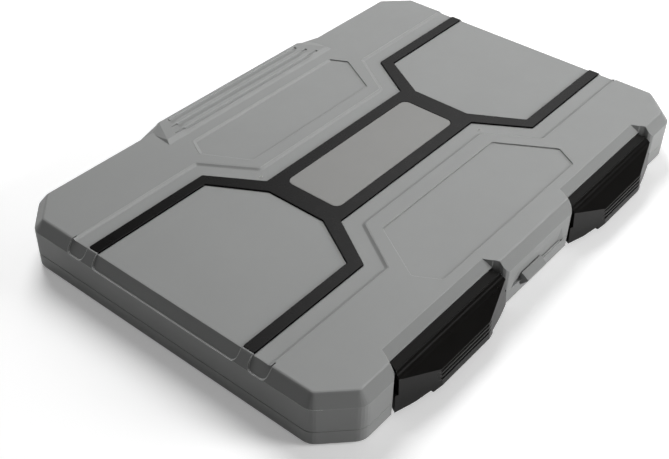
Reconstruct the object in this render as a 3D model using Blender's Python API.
"""Hard rig box for fishing: a shallow hinged case with two pull latches.

X runs along the case, the latches are at -Y, the hinge is at +Y and the case stands on Z = 0.
The outline is a rectangle with cut corners. The lid carries a black inlay and a blank centre plate,
and the base holds a foam bed, a slit strip for hooks and a row of pegs for the rigs' loops.
"""

import math

import bmesh
import bpy
from mathutils import Matrix, Vector

# Case
TOP_HALF_LENGTH = 0.1698
TOP_HALF_WIDTH = 0.1124
TOP_CORNER_LEG = 0.0158
TOP_CORNER_RADIUS = 0.0025
SIDE_CORNER_RADIUS = 0.0090
RIM_BEVEL_OUT = 0.0053
RIM_BEVEL_DOWN = 0.0065
RIM_EDGE_SOFTNESS = 0.0008
CASE_HEIGHT = 0.0320
PARTING_HEIGHT = 0.0100
PARTING_GAP = 0.0004
WALL = 0.0022
LID_TOP_THICKNESS = 0.0030
FLOOR_THICKNESS = 0.0022
FOOT_EDGE_RADIUS = 0.0022
LIP_HEIGHT = 0.0015
LIP_THICKNESS = 0.0010

# Clearances
FIT_GAP = 0.0003
PIN_GAP = 0.0001
LATCH_SWING_GAP = 0.0005
CUT_OVERRUN = 0.0020
CORNER_STEPS = 4
ROUND_SIDES = 20

# Lid top
RECESS_DEPTH = 0.0009
RECESS_HALF_WIDTH = 0.0710
RECESS_BEND_X = 0.0780
RECESS_WAIST_X = 0.0575
RECESS_WAIST_HALF_WIDTH = 0.0392
RECESS_CORNER_RADIUS = 0.0020
TONGUE_DROP = 0.0069
TONGUE_OUTER_Y = 0.0718
TONGUE_CORNER_RADIUS = 0.0035
STRIPE_OUTER_Y = 0.0593
STRIPE_INNER_Y = 0.0522
STRIPE_BEND_OUTER_X = 0.0845
STRIPE_BEND_INNER_X = 0.0894
STRIPE_END_INSET = 0.0009
FRAME_HALF_WIDTH = 0.0273
FRAME_HALF_LENGTH = 0.0643
FRAME_POINT_X = 0.0705
FRAME_POINT_Y = 0.0200
INLAY_CORNER_RADIUS = 0.0012
INLAY_SEAT_DEPTH = 0.0007
PLATE_HALF_LENGTH = 0.0568
PLATE_HALF_WIDTH = 0.0190
PLATE_CORNER_RADIUS = 0.0045
PLATE_BELOW_INLAY = 0.0002
PANEL_DEPTH = 0.0007
PANEL_CORNER_RADIUS = 0.0020
BACK_PANEL_OUTER_INSET = 0.0244
BACK_PANEL_OUTER_X = 0.0643
BACK_PANEL_WIDE_INSET = 0.0361
BACK_PANEL_WIDE_X = 0.0706
BACK_PANEL_INNER_Y = 0.0472
FRONT_PANEL_OUTER_INSET = 0.0143
FRONT_PANEL_OUTER_X = 0.0670
FRONT_PANEL_WIDE_INSET = 0.0286
FRONT_PANEL_WIDE_X = 0.0755
FRONT_PANEL_INNER_Y = 0.0488
PANEL_INNER_X = 0.0544

# Raised grip over the hinge
GRIP_RISE = 0.0012
GRIP_ROOT_INSET = 0.0184
GRIP_ROOT_X = 0.0765
GRIP_RAMP_LENGTH = 0.0050
GRIP_OUTER_X = 0.0645
GRIP_FLARE_X = 0.0750
GRIP_TAIL_X = 0.0840
GRIP_TAIL_RISE = 0.0005
GRIP_PROUD = 0.0004
GRIP_GROOVE_RADIUS = 0.0012
GRIP_GROOVE_DEPTH = 0.0008
GRIP_GROOVE_COUNT = 3
GRIP_GROOVE_INSET = 0.0043
GRIP_GROOVE_PITCH = 0.0066
GRIP_GROOVE_END_INSET = 0.0050

# Hinge
KNUCKLE_RADIUS = 0.0040
KNUCKLE_COUNT = 7
HINGE_HALF_LENGTH = 0.0600
HINGE_PIN_RADIUS = 0.0015
HINGE_PIN_END_INSET = 0.0010

# Latches and their notches
LATCH_CENTRE_INSET = 0.0860
NOTCH_FLOOR_INSET = 0.0082
NOTCH_FLOOR_HALF_LENGTH = 0.0436
NOTCH_LIP_INSET = 0.0031
NOTCH_LIP_DROP = 0.0048
NOTCH_LIP_HALF_LENGTH = 0.0461
NOTCH_HALF_LENGTH = 0.0464
NOTCH_FLARE_SHARE = 0.52
NOTCH_EDGE_RADIUS = 0.0047
NOTCH_EDGE_PROUD = 0.0002
LATCH_TOP_DROP = 0.0051
LATCH_TOP_WIDTH = 0.0050
LATCH_TOP_SLOPE = 0.0003
LATCH_STEP_WIDTH = 0.0003
LATCH_STEP_DROP = 0.0010
LATCH_END_GAP = 0.0026
LATCH_FLARE_SHARE = 0.40
LATCH_EAR_GAP = 0.0005
LATCH_EAR_FLARE_SHARE = 0.62
LATCH_EAR_DROP = 0.0185
LATCH_FOOT_HEIGHT = 0.0030
LATCH_GRIP_STAND_OFF = 0.0093
LATCH_GRIP_DROP = 0.0165
LATCH_GRIP_LEAN = 0.0013
LATCH_GRIP_HALF_LENGTH = 0.0219
LATCH_GRIP_FOOT_HALF_LENGTH = 0.0216
LATCH_UNDERCUT_HALF_LENGTH = 0.0270
LATCH_UNDERCUT_RISE = 0.0020
LATCH_END_STAND_OFF = 0.0012
LATCH_SKIN = 0.0020
LATCH_BACK_INSET = 0.0040
LATCH_PIN_DROP = 0.0084
LATCH_PIN_BEHIND_TOP = 0.0040
LATCH_PIN_RADIUS = 0.0010
LATCH_PIN_GRIP = 0.0015
LATCH_BOSS_RADIUS = 0.0030
LATCH_RIB_COUNT = 3
LATCH_RIB_SPACING = 0.0026
LATCH_RIB_RADIUS = 0.0008
LATCH_RIB_TOP_INSET = 0.0014
LATCH_GRIP_GROOVE_HALF_LENGTH = 0.0260
HOOK_HEIGHT = 0.0030
CATCH_THICKNESS = 0.0018
CATCH_DROP = 0.0016
CATCH_HALF_LENGTH = 0.0300

# Finger lift between the latches
LIFT_HALF_LENGTH = 0.0285
LIFT_DEPTH = 0.0018
LIFT_HEIGHT = 0.0125
LIFT_FLARE = 0.0055
TAB_LENGTH = 0.0195
TAB_SHIFT = 0.0078
TAB_PROUD = 0.0043
TAB_RISE = 0.0045
TAB_SLOPE = 0.0031
TAB_EDGE = 0.0006
TAB_DROP = 0.0040
SLOT_LENGTH = 0.0200
SLOT_SHIFT = 0.0160
SLOT_DEPTH = 0.0010

# Inside
BED_THICKNESS = 0.0058
BED_EDGE_GAP = 0.0011
STRIP_WIDTH = 0.0200
STRIP_HEIGHT = 0.0050
STRIP_INSET = 0.0100
STRIP_END_INSET = 0.0100
SLIT_PITCH = 0.0080
SLIT_WIDTH = 0.0008
SLIT_DEPTH = 0.0030
PEG_COUNT = 12
PEG_STAGGER = 0.0160
PEG_INSET = 0.0320
PEG_END_INSET = 0.0160
PEG_SHANK_RADIUS = 0.0010
PEG_SHANK_DEPTH = 0.0045
PEG_NECK_HEIGHT = 0.0060
PEG_COLLAR_RADIUS = 0.0026
PEG_COLLAR_HEIGHT = 0.0010
PEG_HEAD_RADIUS = 0.0021
PEG_HEAD_HEIGHT = 0.0016
PAD_THICKNESS = 0.0030
PAD_EDGE_GAP = 0.0120

TOP_Z = CASE_HEIGHT
LID_FOOT_Z = PARTING_HEIGHT + PARTING_GAP / 2
BASE_TOP_Z = PARTING_HEIGHT - PARTING_GAP / 2
SIDE_Y = TOP_HALF_WIDTH + RIM_BEVEL_OUT
BASE_WALL = WALL + FIT_GAP + LIP_THICKNESS
GRIP_ROOT_Y = TOP_HALF_WIDTH - GRIP_ROOT_INSET
LATCH_CENTRE_X = TOP_HALF_LENGTH - LATCH_CENTRE_INSET
NOTCH_FLOOR_Y = NOTCH_FLOOR_INSET - TOP_HALF_WIDTH
NOTCH_LIP_Y = NOTCH_LIP_INSET - TOP_HALF_WIDTH
NOTCH_LIP_Z = TOP_Z - NOTCH_LIP_DROP
LATCH_TOP_Y = NOTCH_LIP_Y - FIT_GAP
LATCH_FRONT_Y = -SIDE_Y - LATCH_GRIP_STAND_OFF
LATCH_GRIP_TOP_Z = TOP_Z - LATCH_GRIP_DROP
LATCH_PIN_Y = LATCH_TOP_Y - LATCH_PIN_BEHIND_TOP
LATCH_PIN_Z = TOP_Z - LATCH_PIN_DROP
LATCH_TOP_Z = TOP_Z - LATCH_TOP_DROP
LATCH_TOP_HALF_LENGTH = NOTCH_HALF_LENGTH - LATCH_END_GAP
NOTCH_BACK_Y = (
    LATCH_PIN_Y + math.hypot(LATCH_PIN_BEHIND_TOP, LATCH_TOP_Z - LATCH_PIN_Z) + LATCH_SWING_GAP
)
HOOK_Y = -SIDE_Y + LATCH_BACK_INSET
HINGE_Y = SIDE_Y + KNUCKLE_RADIUS + FIT_GAP
HINGE_Z = PARTING_HEIGHT
BED_BOTTOM_Z = FLOOR_THICKNESS + FIT_GAP
BED_TOP_Z = BED_BOTTOM_Z + BED_THICKNESS
ARM_END_X = TOP_HALF_LENGTH - STRIPE_END_INSET

LID_GREY = (0.27, 0.28, 0.27)
BASE_GREY = (0.25, 0.26, 0.25)
INLAY_BLACK = (0.012, 0.012, 0.013)
PLATE_GREY = (0.33, 0.33, 0.32)
LATCH_BLACK = (0.014, 0.014, 0.015)
STEEL = (0.55, 0.55, 0.56)
FOAM_BLACK = (0.02, 0.02, 0.022)
FOAM_GREY = (0.12, 0.12, 0.125)
PEG_WHITE = (0.75, 0.75, 0.72)


def clear_scene():
    for old in list(bpy.data.objects):
        bpy.data.objects.remove(old, do_unlink=True)


def plastic(name, colour, roughness, metallic=0.0):
    """A Principled material in one colour."""
    made = bpy.data.materials.new(name)
    made.use_nodes = True
    shader = made.node_tree.nodes["Principled BSDF"]
    shader.inputs["Base Color"].default_value = (*colour, 1.0)
    shader.inputs["Roughness"].default_value = roughness
    shader.inputs["Metallic"].default_value = metallic
    made.diffuse_color = (*colour, 1.0)
    return made


def object_from(name, bm, material=None):
    """The bmesh as a scene object, its normals turned outward."""
    bmesh.ops.recalc_face_normals(bm, faces=bm.faces)
    mesh = bpy.data.meshes.new(name)
    bm.to_mesh(mesh)
    bm.free()
    made = bpy.data.objects.new(name, mesh)
    bpy.context.scene.collection.objects.link(made)
    if material is not None:
        mesh.materials.append(material)
        mesh.shade_smooth()
        mesh.set_sharp_from_angle(angle=math.radians(28))
    return made


def as_cutter(made):
    """A helper that Booleans use and a render leaves out."""
    made.hide_render = True
    made.display_type = "WIRE"
    return made


def boolean(target, other, operation):
    step = target.modifiers.new(f"{operation.lower()} {other.name}", "BOOLEAN")
    step.operation = operation
    step.solver = "EXACT"
    step.object = other
    return step


def cut(target, *cutters):
    for cutter in cutters:
        boolean(target, as_cutter(cutter), "DIFFERENCE")


def join(target, *others):
    for other in others:
        boolean(target, as_cutter(other), "UNION")


def arc_at(corner, before, after, radius):
    """Points of the arc that rounds this corner, between the points before and after it."""
    here = Vector(corner)
    back = (Vector(before) - here).normalized()
    ahead = (Vector(after) - here).normalized()
    half_angle = back.angle(ahead) / 2
    centre = here + (back + ahead).normalized() * (radius / math.sin(half_angle))
    start = here + back * (radius / math.tan(half_angle)) - centre
    end = here + ahead * (radius / math.tan(half_angle)) - centre
    turn = start.angle_signed(end)
    out = []
    for step in range(CORNER_STEPS + 1):
        spoke = start.copy()
        spoke.rotate(Matrix.Rotation(-turn * step / CORNER_STEPS, 2))
        out.append(tuple(centre + spoke))
    return out


def rounded(points, radius):
    """The outline with an arc of this radius at each corner."""
    out = []
    count = len(points)
    for i, corner in enumerate(points):
        out += arc_at(corner, points[i - 1], points[(i + 1) % count], radius)
    return out


def grown(points, amount):
    """The outline, listed anticlockwise, with every edge moved out by the same amount."""
    out = []
    count = len(points)
    for i, corner in enumerate(points):
        here = Vector(corner)
        arriving = (here - Vector(points[i - 1])).normalized()
        leaving = (Vector(points[(i + 1) % count]) - here).normalized()
        first = Vector((arriving.y, -arriving.x))
        second = Vector((leaving.y, -leaving.x))
        out.append(here + (first + second) * (amount / (1 + first.dot(second))))
    return out


def mirrored_x(points):
    """A right half, listed from bottom to top, closed by its own mirror image."""
    return points + [(-x, y) for x, y in reversed(points)]


def case_outline(grow, radius):
    """The case's cut-corner rectangle, moved out by grow, with rounded corners."""
    right = [
        (TOP_HALF_LENGTH - TOP_CORNER_LEG, -TOP_HALF_WIDTH),
        (TOP_HALF_LENGTH, -TOP_HALF_WIDTH + TOP_CORNER_LEG),
        (TOP_HALF_LENGTH, TOP_HALF_WIDTH - TOP_CORNER_LEG),
        (TOP_HALF_LENGTH - TOP_CORNER_LEG, TOP_HALF_WIDTH),
    ]
    return rounded(grown(mirrored_x(right), grow), radius)


def prism(name, outline, low, high, material=None):
    """The outline in plan, drawn up from low to high."""
    bm = bmesh.new()
    face = bm.faces.new([bm.verts.new((x, y, low)) for x, y in outline])
    raised = bmesh.ops.extrude_face_region(bm, geom=[face])
    tops = [v for v in raised["geom"] if isinstance(v, bmesh.types.BMVert)]
    bmesh.ops.translate(bm, verts=tops, vec=(0, 0, high - low))
    return object_from(name, bm, material)


def run_along_x(name, profile, half_length, centre_x=0, material=None):
    """A profile of (y, z) points, drawn along X."""
    bm = bmesh.new()
    start = centre_x - half_length
    face = bm.faces.new([bm.verts.new((start, y, z)) for y, z in profile])
    drawn = bmesh.ops.extrude_face_region(bm, geom=[face])
    ends = [v for v in drawn["geom"] if isinstance(v, bmesh.types.BMVert)]
    bmesh.ops.translate(bm, verts=ends, vec=(2 * half_length, 0, 0))
    return object_from(name, bm, material)


def loft(name, rings, material=None):
    """A closed skin through rings of equal count, listed from bottom to top."""
    bm = bmesh.new()
    levels = [[bm.verts.new(point) for point in ring] for ring in rings]
    for below, above in zip(levels, levels[1:]):
        for i in range(len(below)):
            bm.faces.new((below[i - 1], below[i], above[i], above[i - 1]))
    bm.faces.new(levels[0])
    bm.faces.new(levels[-1])
    return object_from(name, bm, material)


def ring(height, grow, radius):
    return [(x, y, height) for x, y in case_outline(grow, radius)]


def rod(name, radius, start, length, axis="Z", material=None, sides=ROUND_SIDES):
    """A round bar from start, along X or Z."""
    bm = bmesh.new()
    bmesh.ops.create_cone(
        bm, cap_ends=True, segments=sides, radius1=radius, radius2=radius, depth=length
    )
    bmesh.ops.translate(bm, verts=bm.verts, vec=(0, 0, length / 2))
    if axis == "X":
        bmesh.ops.rotate(bm, verts=bm.verts, matrix=Matrix.Rotation(math.pi / 2, 3, "Y"))
    bmesh.ops.translate(bm, verts=bm.verts, vec=start)
    return object_from(name, bm, material)


def hull(name, points):
    bm = bmesh.new()
    for point in points:
        bm.verts.new(point)
    found = bmesh.ops.convex_hull(bm, input=bm.verts)
    bmesh.ops.delete(bm, geom=found["geom_unused"], context="VERTS")
    return object_from(name, bm)


def skin_rings(inset, foot):
    """Rings of the lid's outer skin, moved in by inset: its foot, the bevel's low edge and the top."""
    slope = math.atan2(RIM_BEVEL_DOWN, RIM_BEVEL_OUT)
    side_grow = RIM_BEVEL_OUT - inset
    side_radius = SIDE_CORNER_RADIUS - inset
    bevel_foot = TOP_Z - RIM_BEVEL_DOWN - inset * math.tan((math.pi / 2 - slope) / 2)
    return [
        ring(foot, side_grow, side_radius),
        ring(bevel_foot, side_grow, side_radius),
        ring(TOP_Z - inset, -inset * math.tan(slope / 2), TOP_CORNER_RADIUS),
    ]


def notch_half(y):
    """Half length of a latch notch at this depth, flaring from its lip to the rim of the case's top."""
    flare = min(max(NOTCH_LIP_Y - y, 0), NOTCH_LIP_INSET)
    return NOTCH_HALF_LENGTH + NOTCH_FLARE_SHARE * flare


def notch_mouth():
    """Right half of a notch in plan in front of its lip, with a round edge in the case's front."""
    edge_y = -SIDE_Y - NOTCH_EDGE_PROUD
    mouth_half = notch_half(edge_y)
    reach = mouth_half + 2 * NOTCH_EDGE_RADIUS
    rim = (mouth_half, -TOP_HALF_WIDTH)
    beyond = (reach, edge_y)
    edge = arc_at((mouth_half, edge_y), beyond, rim, NOTCH_EDGE_RADIUS)
    return [(reach, LATCH_FRONT_Y), beyond, *edge, rim, (NOTCH_HALF_LENGTH, NOTCH_LIP_Y)]


def notch_prism(name, centre_x, right_half, low, high):
    outline = [(centre_x + x, y) for x, y in mirrored_x(right_half)]
    return prism(name, outline, low, high)


def notch_housing(name, centre_x, grow, low, high):
    """The notch's space and the wall round it, which is grow thick."""
    right = [
        (notch_half(LATCH_FRONT_Y), LATCH_FRONT_Y),
        (notch_half(-TOP_HALF_WIDTH), -TOP_HALF_WIDTH),
        (NOTCH_HALF_LENGTH, NOTCH_LIP_Y),
        (NOTCH_HALF_LENGTH, NOTCH_BACK_Y),
    ]
    outline = [(centre_x + x, y) for x, y in grown(mirrored_x(right), grow)]
    return prism(name, outline, low, high)


def notch_slope(name, centre_x):
    """The wedge above the notch's sloping floor, run on past the lid's top and past the lip."""
    run = NOTCH_FLOOR_Y - NOTCH_LIP_Y
    spread = NOTCH_LIP_HALF_LENGTH - NOTCH_FLOOR_HALF_LENGTH
    beyond = CUT_OVERRUN / NOTCH_LIP_DROP
    above = TOP_Z + CUT_OVERRUN
    points = []
    for side in (-1, 1):
        high_x = centre_x + side * (NOTCH_FLOOR_HALF_LENGTH - spread * beyond)
        low_x = centre_x + side * (NOTCH_LIP_HALF_LENGTH + spread * beyond)
        low_y = NOTCH_LIP_Y - run * beyond
        points += [
            (high_x, NOTCH_FLOOR_Y + run * beyond, above),
            (low_x, low_y, NOTCH_LIP_Z - CUT_OVERRUN),
            (low_x, low_y, above),
        ]
    return hull(name, points)


def cut_lid_notch(lid, side, low):
    """One latch notch: open mouth, sloping floor down to the lip, room behind the lip, pin bore."""
    centre_x = side * LATCH_CENTRE_X
    cut(lid, notch_prism(f"notch_mouth_{side}", centre_x, notch_mouth(), low, TOP_Z + CUT_OVERRUN))
    cut(lid, notch_slope(f"notch_slope_{side}", centre_x))
    room_half = NOTCH_HALF_LENGTH + FIT_GAP
    room = [(room_half, NOTCH_LIP_Y - CUT_OVERRUN), (room_half, NOTCH_BACK_Y)]
    cut(lid, notch_prism(f"notch_room_{side}", centre_x, room, low, NOTCH_LIP_Z - FIT_GAP))
    cut(lid, pin_bore(f"lid_pin_bore_{side}", centre_x))


def latch_profile():
    """The latch's outer section, (y, z): top, sloping face, grip, foot and back."""
    boss_foot = LATCH_PIN_Z - LATCH_BOSS_RADIUS
    return [
        (LATCH_TOP_Y, LATCH_TOP_Z),
        (LATCH_TOP_Y - LATCH_TOP_WIDTH, LATCH_TOP_Z - LATCH_TOP_SLOPE),
        (LATCH_TOP_Y - LATCH_TOP_WIDTH - LATCH_STEP_WIDTH, LATCH_TOP_Z - LATCH_STEP_DROP),
        (LATCH_FRONT_Y + LATCH_GRIP_LEAN, LATCH_GRIP_TOP_Z),
        (LATCH_FRONT_Y, LATCH_FOOT_HEIGHT + LATCH_GRIP_LEAN),
        (LATCH_FRONT_Y + LATCH_GRIP_LEAN, LATCH_FOOT_HEIGHT),
        (HOOK_Y, LATCH_FOOT_HEIGHT),
        (HOOK_Y, boss_foot),
        (LATCH_TOP_Y, boss_foot),
    ]


def latch_hollow_profile():
    """The space inside the latch, open toward the case."""
    step_y = LATCH_TOP_Y - LATCH_TOP_WIDTH
    ceiling = LATCH_PIN_Z - LATCH_BOSS_RADIUS - LATCH_SKIN
    floor = LATCH_FOOT_HEIGHT + HOOK_HEIGHT
    return [
        (HOOK_Y + CUT_OVERRUN, ceiling),
        (step_y - LATCH_SKIN, ceiling),
        (LATCH_FRONT_Y + LATCH_GRIP_LEAN + LATCH_SKIN, LATCH_GRIP_TOP_Z - LATCH_SKIN),
        (LATCH_FRONT_Y + LATCH_SKIN, floor),
        (HOOK_Y + CUT_OVERRUN, floor),
    ]


def trim(bm, point, normal, inset):
    """Cuts away what lies beyond the plane, moved back by inset, and closes the cut."""
    geometry = bm.verts[:] + bm.edges[:] + bm.faces[:]
    place = point - normal.normalized() * inset
    done = bmesh.ops.bisect_plane(bm, geom=geometry, plane_co=place, plane_no=normal, clear_outer=True)
    rim = [e for e in done["geom_cut"] if isinstance(e, bmesh.types.BMEdge)]
    bmesh.ops.contextual_create(bm, geom=rim)


def latch_half(y):
    """Half length of the latch's upper part, clear of the notch's ends through its swing."""
    return LATCH_TOP_HALF_LENGTH + LATCH_FLARE_SHARE * (LATCH_TOP_Y - y)


def ear_half(y):
    """Half length of the latch's lower part, which passes the notch's round edges with an even gap."""
    centre_y = NOTCH_EDGE_RADIUS - SIDE_Y - NOTCH_EDGE_PROUD
    clear = (NOTCH_EDGE_RADIUS + LATCH_EAR_GAP) * math.hypot(1, LATCH_EAR_FLARE_SHARE)
    edge_centre_x = notch_half(centre_y) + NOTCH_EDGE_RADIUS
    return edge_centre_x - clear + LATCH_EAR_FLARE_SHARE * (centre_y - y)


def latch_form(name, profile, centre_x, half_at, inset, material=None):
    """The section drawn along X between ends that follow half_at and then taper to the grip."""
    end_y = -SIDE_Y - LATCH_END_STAND_OFF
    top_half = half_at(LATCH_TOP_Y)
    flare = (half_at(LATCH_FRONT_Y) - top_half) / (LATCH_TOP_Y - LATCH_FRONT_Y)
    reach = 2 * top_half
    bm = bmesh.new()
    face = bm.faces.new([bm.verts.new((centre_x - reach, y, z)) for y, z in profile])
    drawn = bmesh.ops.extrude_face_region(bm, geom=[face])
    ends = [v for v in drawn["geom"] if isinstance(v, bmesh.types.BMVert)]
    bmesh.ops.translate(bm, verts=ends, vec=(2 * reach, 0, 0))
    for side in (-1, 1):
        top = Vector((centre_x + side * top_half, LATCH_TOP_Y, LATCH_TOP_Z))
        foot = Vector((centre_x + side * ear_half(end_y), end_y, LATCH_FOOT_HEIGHT))
        low = Vector((centre_x + side * LATCH_GRIP_FOOT_HALF_LENGTH, LATCH_FRONT_Y, LATCH_FOOT_HEIGHT))
        high = Vector(
            (
                centre_x + side * LATCH_GRIP_HALF_LENGTH,
                LATCH_FRONT_Y + LATCH_GRIP_LEAN,
                LATCH_GRIP_TOP_Z,
            )
        )
        trim(bm, top, Vector((side, flare, 0)), inset)
        trim(bm, foot, side * (high - foot).cross(low - foot), inset)
    return object_from(name, bm, material)


def latch_shoulder(name, centre_x, side):
    """What lies above the latch's ear, beyond the end of its upper part."""
    back = LATCH_TOP_Y + CUT_OVERRUN
    front = LATCH_FRONT_Y
    outer = centre_x + side * ear_half(LATCH_FRONT_Y)
    outline = [
        (centre_x + side * latch_half(back), back),
        (centre_x + side * latch_half(front), front),
        (outer, front),
        (outer, back),
    ]
    return prism(name, outline, TOP_Z - LATCH_EAR_DROP, TOP_Z)


def latch_undercut(name, centre_x, side):
    """The wedge under an end of the latch, which leaves the grip's foot standing lowest."""
    inner = centre_x + side * LATCH_UNDERCUT_HALF_LENGTH
    outer = centre_x + side * ear_half(-SIDE_Y)
    low = LATCH_FOOT_HEIGHT - CUT_OVERRUN
    points = []
    for y in (-SIDE_Y, LATCH_FRONT_Y - CUT_OVERRUN):
        points += [
            (inner, y, low),
            (inner, y, LATCH_FOOT_HEIGHT + LATCH_UNDERCUT_RISE),
            (outer, y, low),
        ]
    return hull(name, points)


def make_latch(side, material):
    """One pull latch with its hollow, pin bore and grip ribs, turning about its top edge."""
    name = "latch_left" if side < 0 else "latch_right"
    centre_x = side * LATCH_CENTRE_X
    latch = latch_form(name, latch_profile(), centre_x, ear_half, 0, material)
    for end in (-1, 1):
        cut(latch, latch_shoulder(f"{name}_shoulder_{end}", centre_x, end))
        cut(latch, latch_undercut(f"{name}_undercut_{end}", centre_x, end))
    cut(latch, latch_form(f"{name}_hollow", latch_hollow_profile(), centre_x, latch_half, LATCH_SKIN))
    cut(latch, pin_bore(f"{name}_bore", centre_x))
    fall = LATCH_GRIP_TOP_Z - LATCH_FOOT_HEIGHT - LATCH_GRIP_LEAN
    for i in range(LATCH_RIB_COUNT):
        drop = LATCH_RIB_TOP_INSET + i * LATCH_RIB_SPACING
        groove_y = LATCH_FRONT_Y + LATCH_GRIP_LEAN * (1 - drop / fall)
        start = (centre_x - LATCH_GRIP_GROOVE_HALF_LENGTH, groove_y, LATCH_GRIP_TOP_Z - drop)
        length = 2 * LATCH_GRIP_GROOVE_HALF_LENGTH
        cut(latch, rod(f"{name}_groove_{i + 1}", LATCH_RIB_RADIUS, start, length, "X", sides=8))
    pivot(latch, Vector((centre_x, LATCH_PIN_Y, LATCH_PIN_Z)))
    return latch


def pivot(made, place):
    """Moves the object's origin to place and leaves its solid where it is."""
    made.data.transform(Matrix.Translation(-place))
    made.location = place


def pin_half():
    return notch_half(LATCH_PIN_Y) + LATCH_PIN_GRIP


def make_latch_pin(side, material):
    """The steel pin that a latch turns on, held in the notch's two end walls."""
    name = "latch_pin_left" if side < 0 else "latch_pin_right"
    start = (side * LATCH_CENTRE_X - pin_half(), LATCH_PIN_Y, LATCH_PIN_Z)
    return rod(name, LATCH_PIN_RADIUS, start, 2 * pin_half(), "X", material, sides=12)


def pin_bore(name, centre_x):
    half = pin_half() + FIT_GAP
    start = (centre_x - half, LATCH_PIN_Y, LATCH_PIN_Z)
    return rod(name, LATCH_PIN_RADIUS + PIN_GAP, start, 2 * half, "X", sides=12)


def recess_cutter():
    """The sunken field across the lid and its three tongues down each end's bevel."""
    right = [
        (RECESS_WAIST_X, -RECESS_WAIST_HALF_WIDTH),
        (RECESS_BEND_X, -RECESS_HALF_WIDTH),
        (ARM_END_X, -RECESS_HALF_WIDTH),
        (ARM_END_X, RECESS_HALF_WIDTH),
        (RECESS_BEND_X, RECESS_HALF_WIDTH),
        (RECESS_WAIST_X, RECESS_WAIST_HALF_WIDTH),
    ]
    outline = rounded(mirrored_x(right), RECESS_CORNER_RADIUS)
    field = prism("recess_field", outline, TOP_Z - 2 * RECESS_DEPTH, TOP_Z + CUT_OVERRUN)
    reach = RIM_BEVEL_OUT + 2 * CUT_OVERRUN
    low = TOP_Z - TONGUE_DROP
    high = TOP_Z + TONGUE_CORNER_RADIUS + CUT_OVERRUN
    spans = (
        (-TONGUE_OUTER_Y, -STRIPE_OUTER_Y),
        (-STRIPE_INNER_Y, STRIPE_INNER_Y),
        (STRIPE_OUTER_Y, TONGUE_OUTER_Y),
    )
    for side in (-1, 1):
        for i, (near, far) in enumerate(spans):
            profile = rounded([(near, low), (far, low), (far, high), (near, high)], TONGUE_CORNER_RADIUS)
            centre = side * (ARM_END_X + reach / 2 - CUT_OVERRUN)
            join(field, run_along_x(f"tongue_{side}_{i}", profile, reach / 2, centre))
    cut(field, loft("recess_floor", skin_rings(RECESS_DEPTH, LID_FOOT_Z)))
    return field


def inlay_outline(grow):
    """Four arms and the frame round the plate, moved out by grow."""
    upper = [
        (FRAME_POINT_X, FRAME_POINT_Y),
        (STRIPE_BEND_INNER_X, STRIPE_INNER_Y),
        (ARM_END_X, STRIPE_INNER_Y),
        (ARM_END_X, STRIPE_OUTER_Y),
        (STRIPE_BEND_OUTER_X, STRIPE_OUTER_Y),
        (FRAME_HALF_LENGTH, FRAME_HALF_WIDTH),
    ]
    lower = [(x, -y) for x, y in reversed(upper)]
    return rounded(grown(mirrored_x(lower + upper), grow), INLAY_CORNER_RADIUS)


def plate_outline(grow):
    x = PLATE_HALF_LENGTH + grow
    y = PLATE_HALF_WIDTH + grow
    return rounded([(-x, -y), (x, -y), (x, y), (-x, y)], PLATE_CORNER_RADIUS + grow)


def panel_cutter(name, right_half):
    """A shallow six-sided panel in the lid's top."""
    outline = rounded(mirrored_x(right_half), PANEL_CORNER_RADIUS)
    return prism(name, outline, TOP_Z - PANEL_DEPTH, TOP_Z + CUT_OVERRUN)


def back_panel():
    right = [
        (PANEL_INNER_X, BACK_PANEL_INNER_Y),
        (BACK_PANEL_WIDE_X, TOP_HALF_WIDTH - BACK_PANEL_WIDE_INSET),
        (BACK_PANEL_OUTER_X, TOP_HALF_WIDTH - BACK_PANEL_OUTER_INSET),
    ]
    return panel_cutter("back_panel", right)


def front_panel():
    right = [
        (FRONT_PANEL_OUTER_X, FRONT_PANEL_OUTER_INSET - TOP_HALF_WIDTH),
        (FRONT_PANEL_WIDE_X, FRONT_PANEL_WIDE_INSET - TOP_HALF_WIDTH),
        (PANEL_INNER_X, -FRONT_PANEL_INNER_Y),
    ]
    return panel_cutter("front_panel", right)


def grip_tail():
    """The low skirt that spreads the grip's ends into the lid's top and rim."""
    points = []
    inner_x = GRIP_OUTER_X - GRIP_PROUD
    rim_y = TOP_HALF_WIDTH + GRIP_PROUD
    back_y = SIDE_Y + GRIP_PROUD / 2
    low = TOP_Z - RIM_BEVEL_DOWN + GRIP_PROUD
    inside_z = TOP_Z - RIM_EDGE_SOFTNESS / 2
    for side in (-1, 1):
        points += [
            (side * GRIP_ROOT_X, GRIP_ROOT_Y + GRIP_RAMP_LENGTH, inside_z),
            (side * inner_x, rim_y, TOP_Z + GRIP_TAIL_RISE),
            (side * inner_x, back_y, TOP_Z - GRIP_TAIL_RISE),
            (side * inner_x, back_y, low),
            (side * GRIP_TAIL_X, rim_y, inside_z - GRIP_PROUD),
            (side * GRIP_TAIL_X, SIDE_Y - GRIP_PROUD, low),
        ]
    return hull("grip_tail", points)


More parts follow.
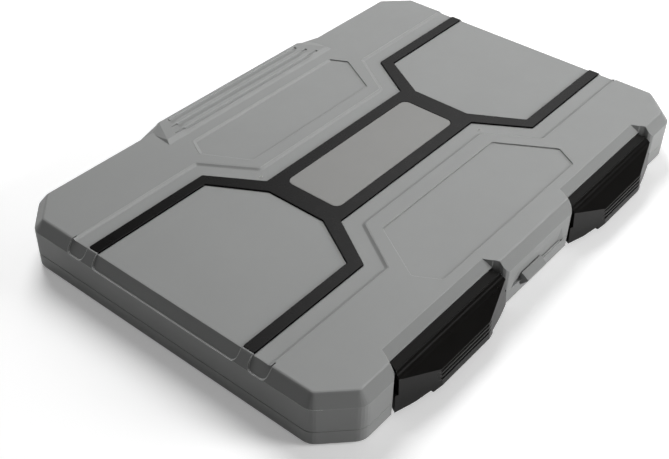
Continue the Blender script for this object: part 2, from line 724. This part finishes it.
def grip_hump():
    """The raised grip over the hinge, its ends falling to the skirt and its back plumb."""
    points = []
    low = TOP_Z - RIM_BEVEL_DOWN
    inside_z = TOP_Z - RIM_EDGE_SOFTNESS / 2
    ramp_x = GRIP_ROOT_X - GRIP_RAMP_LENGTH / 2
    for side in (-1, 1):
        points += [
            (side * GRIP_ROOT_X, GRIP_ROOT_Y, inside_z),
            (side * ramp_x, GRIP_ROOT_Y + GRIP_RAMP_LENGTH, TOP_Z + GRIP_RISE),
            (side * GRIP_OUTER_X, SIDE_Y - GRIP_RISE, TOP_Z + GRIP_RISE),
            (side * GRIP_OUTER_X, SIDE_Y + GRIP_PROUD, TOP_Z - GRIP_PROUD),
            (side * GRIP_FLARE_X, TOP_HALF_WIDTH, inside_z),
            (side * GRIP_FLARE_X, SIDE_Y - GRIP_PROUD, low),
            (side * GRIP_OUTER_X, SIDE_Y + GRIP_PROUD, low),
            (side * GRIP_ROOT_X, GRIP_ROOT_Y, low),
        ]
    return hull("grip_hump", points)


def knuckle_edges():
    """Start and end of each hinge knuckle along X, with a running gap between neighbours."""
    pitch = 2 * HINGE_HALF_LENGTH / KNUCKLE_COUNT
    for i in range(KNUCKLE_COUNT):
        start = -HINGE_HALF_LENGTH + i * pitch
        yield i, start + FIT_GAP / 2, start + pitch - FIT_GAP / 2


def knuckle(name, start, end, web_low, web_high):
    """A hinge barrel with the web that ties it to the case's back wall."""
    length = end - start
    barrel = rod(name, KNUCKLE_RADIUS, (start, HINGE_Y, HINGE_Z), length, "X")
    profile = [
        (SIDE_Y - WALL / 2, web_low),
        (HINGE_Y, web_low),
        (HINGE_Y, web_high),
        (SIDE_Y - WALL / 2, web_high),
    ]
    web = run_along_x(f"{name}_web", profile, length / 2, (start + end) / 2)
    join(barrel, web)
    return barrel


def hinge_bore():
    length = 2 * HINGE_HALF_LENGTH + 2 * CUT_OVERRUN
    start = (-length / 2, HINGE_Y, HINGE_Z)
    return rod("hinge_bore", HINGE_PIN_RADIUS + PIN_GAP, start, length, "X")


def scoop_depth(height):
    """How far the finger scoop's floor lies behind the case's front at this height."""
    return LIFT_DEPTH * (1 - (height - LID_FOOT_Z) / LIFT_HEIGHT)


def lift_scoop():
    """The finger scoop in the lid's front wall, deepest at the parting line."""
    low = LID_FOOT_Z - CUT_OVERRUN
    beyond = 1 + CUT_OVERRUN / LIFT_DEPTH
    front_y = -SIDE_Y - CUT_OVERRUN
    inner_half = LIFT_HALF_LENGTH - LIFT_FLARE
    points = []
    for side in (-1, 1):
        points += [
            (side * (inner_half + LIFT_FLARE * beyond), front_y, low),
            (side * inner_half, -SIDE_Y + LIFT_DEPTH, low),
            (side * inner_half, front_y, LID_FOOT_Z + LIFT_HEIGHT * beyond),
        ]
    return hull("lift_scoop", points)


def make_lid(material):
    """The lid shell: bevelled top, latch notches, sunken field, panels, grip and hinge knuckles."""
    edge = RIM_EDGE_SOFTNESS
    rings = skin_rings(0, LID_FOOT_Z)[:2]
    bevel_share = edge / RIM_BEVEL_DOWN
    rings.append(ring(TOP_Z - edge, RIM_BEVEL_OUT * bevel_share, TOP_CORNER_RADIUS + edge))
    rings.append(ring(TOP_Z - edge / 4, 0, TOP_CORNER_RADIUS))
    rings.append(ring(TOP_Z, -edge, TOP_CORNER_RADIUS))
    lid = loft("lid_shell", rings, material)
    join(lid, grip_tail(), grip_hump())

    inside = skin_rings(WALL, LID_FOOT_Z - CUT_OVERRUN)[:2]
    inside.append(ring(TOP_Z - LID_TOP_THICKNESS, -LID_TOP_THICKNESS / 2, TOP_CORNER_RADIUS))
    cavity = loft("lid_cavity", inside)
    low = LID_FOOT_Z - 2 * CUT_OVERRUN
    for side in (-1, 1):
        centre_x = side * LATCH_CENTRE_X
        cut(cavity, notch_housing(f"lid_housing_{side}", centre_x, WALL, low, TOP_Z))
    cut(lid, cavity)
    for side in (-1, 1):
        cut_lid_notch(lid, side, low)

    cut(lid, recess_cutter())
    groove_floor = TOP_Z - RECESS_DEPTH - INLAY_SEAT_DEPTH
    cut(lid, prism("inlay_groove", inlay_outline(FIT_GAP), groove_floor, TOP_Z + CUT_OVERRUN))
    cut(lid, back_panel(), front_panel())
    groove_z = TOP_Z + GRIP_RISE + GRIP_GROOVE_RADIUS - GRIP_GROOVE_DEPTH
    for i in range(GRIP_GROOVE_COUNT):
        y = SIDE_Y - GRIP_GROOVE_INSET - i * GRIP_GROOVE_PITCH
        half = GRIP_OUTER_X - GRIP_GROOVE_END_INSET + i * GRIP_GROOVE_PITCH / 2
        start = (-half, y, groove_z)
        cut(lid, rod(f"grip_groove_{i + 1}", GRIP_GROOVE_RADIUS, start, 2 * half, "X", sides=12))
    cut(lid, lift_scoop())

    for i, start, end in knuckle_edges():
        if i % 2:
            web_high = LID_FOOT_Z + KNUCKLE_RADIUS
            join(lid, knuckle(f"lid_knuckle_{i}", start, end, LID_FOOT_Z + FIT_GAP, web_high))
    cut(lid, hinge_bore())
    pivot(lid, Vector((0, HINGE_Y, HINGE_Z)))
    return lid


def make_inlay(material):
    """The black arms and frame moulded into the lid's sunken field."""
    floor = TOP_Z - RECESS_DEPTH - INLAY_SEAT_DEPTH + FIT_GAP
    inlay = prism("lid_inlay", inlay_outline(0), floor, TOP_Z, material)
    opening = prism("plate_opening", plate_outline(FIT_GAP), floor - CUT_OVERRUN, TOP_Z + CUT_OVERRUN)
    cut(inlay, opening)
    return inlay


def make_plate(material):
    floor = TOP_Z - RECESS_DEPTH - INLAY_SEAT_DEPTH + FIT_GAP
    return prism("centre_plate", plate_outline(0), floor, TOP_Z - PLATE_BELOW_INLAY, material)


def make_base(material):
    """The base tray: rounded foot, locating lip, catch ledges, lift tab and hinge knuckles."""
    rings = []
    for step in range(CORNER_STEPS):
        angle = step * math.pi / 2 / CORNER_STEPS
        height = FOOT_EDGE_RADIUS * (1 - math.sin(angle))
        grow = RIM_BEVEL_OUT - FOOT_EDGE_RADIUS * (1 - math.cos(angle))
        rings.append(ring(height, grow, SIDE_CORNER_RADIUS))
    rings.reverse()
    rings.append(ring(BASE_TOP_Z, RIM_BEVEL_OUT, SIDE_CORNER_RADIUS))
    rings[0] = ring(0, RIM_BEVEL_OUT - FOOT_EDGE_RADIUS, SIDE_CORNER_RADIUS)
    base = loft("base_shell", rings, material)

    lip_grow = RIM_BEVEL_OUT - WALL - FIT_GAP
    lip_radius = SIDE_CORNER_RADIUS - WALL - FIT_GAP
    lip_outline = case_outline(lip_grow, lip_radius)
    lip = prism("base_lip", lip_outline, BASE_TOP_Z - LIP_HEIGHT, BASE_TOP_Z + LIP_HEIGHT)
    cavity_outline = case_outline(lip_grow - LIP_THICKNESS, lip_radius - LIP_THICKNESS)
    cavity_top = BASE_TOP_Z + LIP_HEIGHT + CUT_OVERRUN
    cavity = prism("base_cavity", cavity_outline, FLOOR_THICKNESS, cavity_top)
    low = -CUT_OVERRUN
    for side in (-1, 1):
        centre_x = side * LATCH_CENTRE_X
        high = cavity_top + CUT_OVERRUN
        cut(lip, notch_housing(f"lip_housing_{side}", centre_x, WALL + FIT_GAP, low, high))
        cut(cavity, notch_housing(f"base_housing_{side}", centre_x, BASE_WALL, low, high))
    join(base, lip)
    cut(base, cavity)
    for side in (-1, 1):
        centre_x = side * LATCH_CENTRE_X
        notch = notch_mouth() + [(NOTCH_HALF_LENGTH, NOTCH_BACK_Y)]
        cut(base, notch_prism(f"base_notch_{side}", centre_x, notch, low, BASE_TOP_Z + CUT_OVERRUN))
        ledge_top = BASE_TOP_Z - CATCH_DROP
        profile = [
            (NOTCH_BACK_Y + WALL / 2, ledge_top - 2 * CATCH_THICKNESS),
            (NOTCH_BACK_Y + WALL / 2, ledge_top),
            (HOOK_Y + FIT_GAP, ledge_top),
            (HOOK_Y + FIT_GAP, ledge_top - CATCH_THICKNESS),
        ]
        join(base, run_along_x(f"catch_{side}", profile, CATCH_HALF_LENGTH, centre_x))
    join(base, lift_tab())
    cut(base, lift_slot())
    for i, start, end in knuckle_edges():
        if i % 2 == 0:
            web_low = BASE_TOP_Z - KNUCKLE_RADIUS
            join(base, knuckle(f"base_knuckle_{i}", start, end, web_low, BASE_TOP_Z - FIT_GAP))
    cut(base, hinge_bore_for_base())
    return base


def hinge_bore_for_base():
    bore = hinge_bore()
    bore.name = "hinge_bore_base"
    return bore


def lift_tab():
    """The thumb tab on the base: a ledge in front of the lid's scoop, its top sloping out and down."""
    inside_y = -SIDE_Y + WALL / 2
    front_y = -SIDE_Y - TAB_PROUD
    top_z = BASE_TOP_Z + TAB_RISE
    front_z = top_z - TAB_SLOPE
    profile = [
        (inside_y, BASE_TOP_Z - TAB_DROP),
        (-SIDE_Y, BASE_TOP_Z - TAB_DROP),
        (front_y, front_z - TAB_EDGE),
        (front_y, front_z),
        (-SIDE_Y, top_z),
        (-SIDE_Y + scoop_depth(top_z) - 2 * FIT_GAP, top_z),
        (inside_y, LID_FOOT_Z),
        (inside_y, BASE_TOP_Z - PARTING_GAP),
    ]
    return run_along_x("lift_tab", profile, TAB_LENGTH / 2, -TAB_SHIFT)


def lift_slot():
    """The finger slot in the base's top edge beside the tab."""
    profile = [
        (-SIDE_Y - CUT_OVERRUN, BASE_TOP_Z - SLOT_DEPTH),
        (-SIDE_Y + LIFT_DEPTH - LIP_THICKNESS, BASE_TOP_Z - SLOT_DEPTH / 2),
        (-SIDE_Y + LIFT_DEPTH - LIP_THICKNESS, BASE_TOP_Z + CUT_OVERRUN),
        (-SIDE_Y - CUT_OVERRUN, BASE_TOP_Z + CUT_OVERRUN),
    ]
    return run_along_x("lift_slot", profile, SLOT_LENGTH / 2, SLOT_SHIFT)


def make_hinge_pin(material):
    half = HINGE_HALF_LENGTH - HINGE_PIN_END_INSET
    start = (-half, HINGE_Y, HINGE_Z)
    return rod("hinge_pin", HINGE_PIN_RADIUS, start, 2 * half, "X", material, sides=16)


def bed_limits():
    """Half length, front and back of the foam bed, clear of the tray's walls and latch housings."""
    side = RIM_BEVEL_OUT - BASE_WALL - BED_EDGE_GAP
    return TOP_HALF_LENGTH + side, NOTCH_BACK_Y + BASE_WALL + BED_EDGE_GAP, TOP_HALF_WIDTH + side


def cut_corner_rectangle(half_length, front, back, leg):
    right = [
        (half_length - leg, front),
        (half_length, front + leg),
        (half_length, back - leg),
        (half_length - leg, back),
    ]
    return mirrored_x(right)


def peg_places():
    """Pegs in two staggered columns along the right end of the bed."""
    half_length, front, back = bed_limits()
    pitch = (back - front - 2 * PEG_END_INSET) / (PEG_COUNT - 1)
    for i in range(PEG_COUNT):
        x = half_length - PEG_INSET - (i % 2) * PEG_STAGGER
        yield i + 1, x, front + PEG_END_INSET + i * pitch


def make_bed(material):
    """The foam bed on the tray's floor, with a hole for each peg."""
    half_length, front, back = bed_limits()
    outline = cut_corner_rectangle(half_length, front, back, TOP_CORNER_LEG + BED_EDGE_GAP)
    bed = prism("foam_bed", outline, BED_BOTTOM_Z, BED_TOP_Z, material)
    depth = PEG_SHANK_DEPTH + FIT_GAP
    radius = PEG_SHANK_RADIUS + FIT_GAP
    for number, x, y in peg_places():
        start = (x, y, BED_TOP_Z - depth)
        cut(bed, rod(f"peg_hole_{number:02d}", radius, start, depth + CUT_OVERRUN, sides=10))
    return bed


def make_hook_strip(material):
    """The strip that holds the hooks, with a slit for each rig."""
    half_length, front, back = bed_limits()
    centre_x = -half_length + STRIP_INSET + STRIP_WIDTH / 2
    low = BED_TOP_Z + FIT_GAP
    high = low + STRIP_HEIGHT
    start = front + STRIP_END_INSET
    end = back - STRIP_END_INSET
    half = STRIP_WIDTH / 2
    soft = STRIP_HEIGHT / 4
    section = [
        (centre_x - half, low),
        (centre_x + half, low),
        (centre_x + half, high - soft),
        (centre_x + half - soft, high),
        (centre_x - half + soft, high),
        (centre_x - half, high - soft),
    ]
    bm = bmesh.new()
    face = bm.faces.new([bm.verts.new((x, start, z)) for x, z in section])
    drawn = bmesh.ops.extrude_face_region(bm, geom=[face])
    ends = [v for v in drawn["geom"] if isinstance(v, bmesh.types.BMVert)]
    bmesh.ops.translate(bm, verts=ends, vec=(0, end - start, 0))
    strip = object_from("hook_strip", bm, material)
    count = int((end - start) / SLIT_PITCH) - 1
    first = (start + end) / 2 - SLIT_PITCH * (count - 1) / 2
    bm = bmesh.new()
    for i in range(count):
        y = first + i * SLIT_PITCH
        slit = bmesh.ops.create_cube(bm, size=1)
        scale = (2 * half + 2 * CUT_OVERRUN, SLIT_WIDTH, SLIT_DEPTH + CUT_OVERRUN)
        bmesh.ops.scale(bm, verts=slit["verts"], vec=scale)
        middle = high - SLIT_DEPTH + (SLIT_DEPTH + CUT_OVERRUN) / 2
        bmesh.ops.translate(bm, verts=slit["verts"], vec=(centre_x, y, middle))
    cut(strip, object_from("strip_slits", bm))
    return strip


def make_peg(number, x, y, material):
    """A push-in peg: shank in the foam, collar on it, neck and domed head for the rig's loop."""
    top = BED_TOP_Z + FIT_GAP
    neck_foot = top + PEG_COLLAR_HEIGHT
    neck_top = neck_foot + PEG_NECK_HEIGHT
    head_top = neck_top + PEG_HEAD_HEIGHT
    profile = [
        (PEG_SHANK_RADIUS / 2, BED_TOP_Z - PEG_SHANK_DEPTH),
        (PEG_SHANK_RADIUS, BED_TOP_Z - PEG_SHANK_DEPTH + PEG_SHANK_RADIUS),
        (PEG_SHANK_RADIUS, top),
        (PEG_COLLAR_RADIUS, top),
        (PEG_COLLAR_RADIUS, neck_foot),
        (PEG_SHANK_RADIUS, neck_foot),
        (PEG_SHANK_RADIUS, neck_top),
        (PEG_HEAD_RADIUS, neck_top),
        (PEG_HEAD_RADIUS, neck_top + PEG_HEAD_HEIGHT / 2),
        (PEG_HEAD_RADIUS / 2, head_top),
    ]
    bm = bmesh.new()
    verts = [bm.verts.new((radius, 0, height)) for radius, height in profile]
    edges = [bm.edges.new(pair) for pair in zip(verts, verts[1:])]
    bmesh.ops.spin(
        bm,
        geom=verts + edges,
        cent=(0, 0, 0),
        axis=(0, 0, 1),
        angle=2 * math.pi,
        steps=12,
        use_merge=True,
    )
    bmesh.ops.holes_fill(bm, edges=bm.edges, sides=12)
    bmesh.ops.translate(bm, verts=bm.verts, vec=(x, y, 0))
    return object_from(f"rig_peg_{number:02d}", bm, material)


def make_pad(material):
    """The foam pad under the lid's top, which keeps the rigs on their pegs."""
    half_length = TOP_HALF_LENGTH - PAD_EDGE_GAP
    front = NOTCH_BACK_Y + WALL + PAD_EDGE_GAP / 4
    back = TOP_HALF_WIDTH - PAD_EDGE_GAP
    high = TOP_Z - LID_TOP_THICKNESS - FIT_GAP
    outline = cut_corner_rectangle(half_length, front, back, TOP_CORNER_LEG)
    return prism("lid_pad", outline, high - PAD_THICKNESS, high, material)


def build():
    clear_scene()
    lid_grey = plastic("lid_grey", LID_GREY, 0.55)
    base_grey = plastic("base_grey", BASE_GREY, 0.55)
    black = plastic("inlay_black", INLAY_BLACK, 0.45)
    latch_black = plastic("latch_black", LATCH_BLACK, 0.4)
    steel = plastic("pin_steel", STEEL, 0.3, 1.0)
    foam_black = plastic("foam_black", FOAM_BLACK, 0.9)
    make_base(base_grey)
    lid = make_lid(lid_grey)
    rides_on_lid = [
        make_inlay(black),
        make_plate(plastic("plate_grey", PLATE_GREY, 0.5)),
        make_pad(foam_black),
    ]
    for side in (-1, 1):
        rides_on_lid.append(make_latch(side, latch_black))
        rides_on_lid.append(make_latch_pin(side, steel))
    bpy.context.view_layer.update()
    for made in rides_on_lid:
        made.parent = lid
        made.matrix_parent_inverse = lid.matrix_world.inverted()
    make_hinge_pin(steel)
    make_bed(foam_black)
    make_hook_strip(plastic("foam_grey", FOAM_GREY, 0.9))
    peg_white = plastic("peg_white", PEG_WHITE, 0.4)
    for number, x, y in peg_places():
        make_peg(number, x, y, peg_white)


build()
